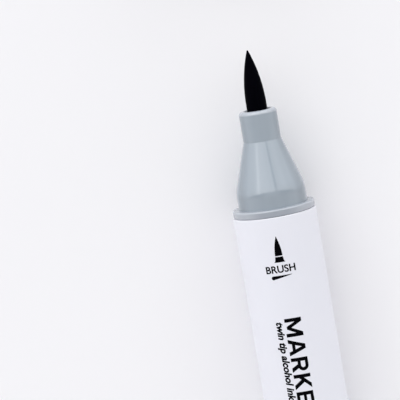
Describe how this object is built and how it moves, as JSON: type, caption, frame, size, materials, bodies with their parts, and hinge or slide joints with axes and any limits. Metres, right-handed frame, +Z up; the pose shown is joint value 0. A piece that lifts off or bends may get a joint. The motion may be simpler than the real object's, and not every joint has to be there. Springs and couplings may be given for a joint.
{
  "type": "felt tip marker",
  "caption": "Twin-tip felt marker: round white barrel, pointed brush nib bare at one end, chisel nib under its cap at the other, pull-off caps with ink-coloured end plugs.",
  "frame": {"origin": "on the barrel's axis, midway along the barrel tube, with the marker lying down", "axes": "+X along the marker towards the brush nib, +Z up, away from the table, which is the plane z = -0.008"},
  "size_m": [0.2118, 0.0164, 0.016],
  "materials": {
    "barrel_white": "smooth moulded white polypropylene, satin gloss",
    "cap_white": "smooth moulded white polypropylene, satin gloss",
    "holder_grey": "glossy light bluish-grey moulded polypropylene",
    "ink_plug": "moulded plastic in the ink's dark blue-grey",
    "brush_fibre": "soft bonded fibre soaked in ink",
    "chisel_fibre": "firm bonded fibre soaked in ink",
    "reservoir_fibre": "bundled fibre soaked in ink",
    "reservoir_film": "thin frosted film",
    "sleeve_plastic": "moulded grey plastic, stained by ink",
    "liner_plastic": "natural, slightly translucent polyethylene"
  },
  "bodies": {
    "marker_body": {"barrel_tube": "barrel_white", "reservoir_core": "reservoir_fibre", "reservoir_film": "reservoir_film", "brush_nib_holder": "holder_grey", "brush_nib_sleeve": "sleeve_plastic", "brush_nib": "brush_fibre", "chisel_nib_holder": "holder_grey", "chisel_nib": "chisel_fibre"},
    "brush_cap": {"brush_cap_shell": "cap_white", "brush_cap_liner": "liner_plastic", "brush_cap_plug": "ink_plug"},
    "chisel_cap": {"chisel_cap_shell": "cap_white", "chisel_cap_liner": "liner_plastic", "chisel_cap_plug": "ink_plug"}
  },
  "joints": [
    {"name": "brush_cap_pull", "type": "slide", "parent": "marker_body", "child": "brush_cap", "axis": [1, 0, 0], "range_m": [-0.06, 0]},
    {"name": "chisel_cap_pull", "type": "slide", "parent": "marker_body", "child": "chisel_cap", "axis": [-1, 0, 0], "range_m": [0, 0.045]}
  ]
}
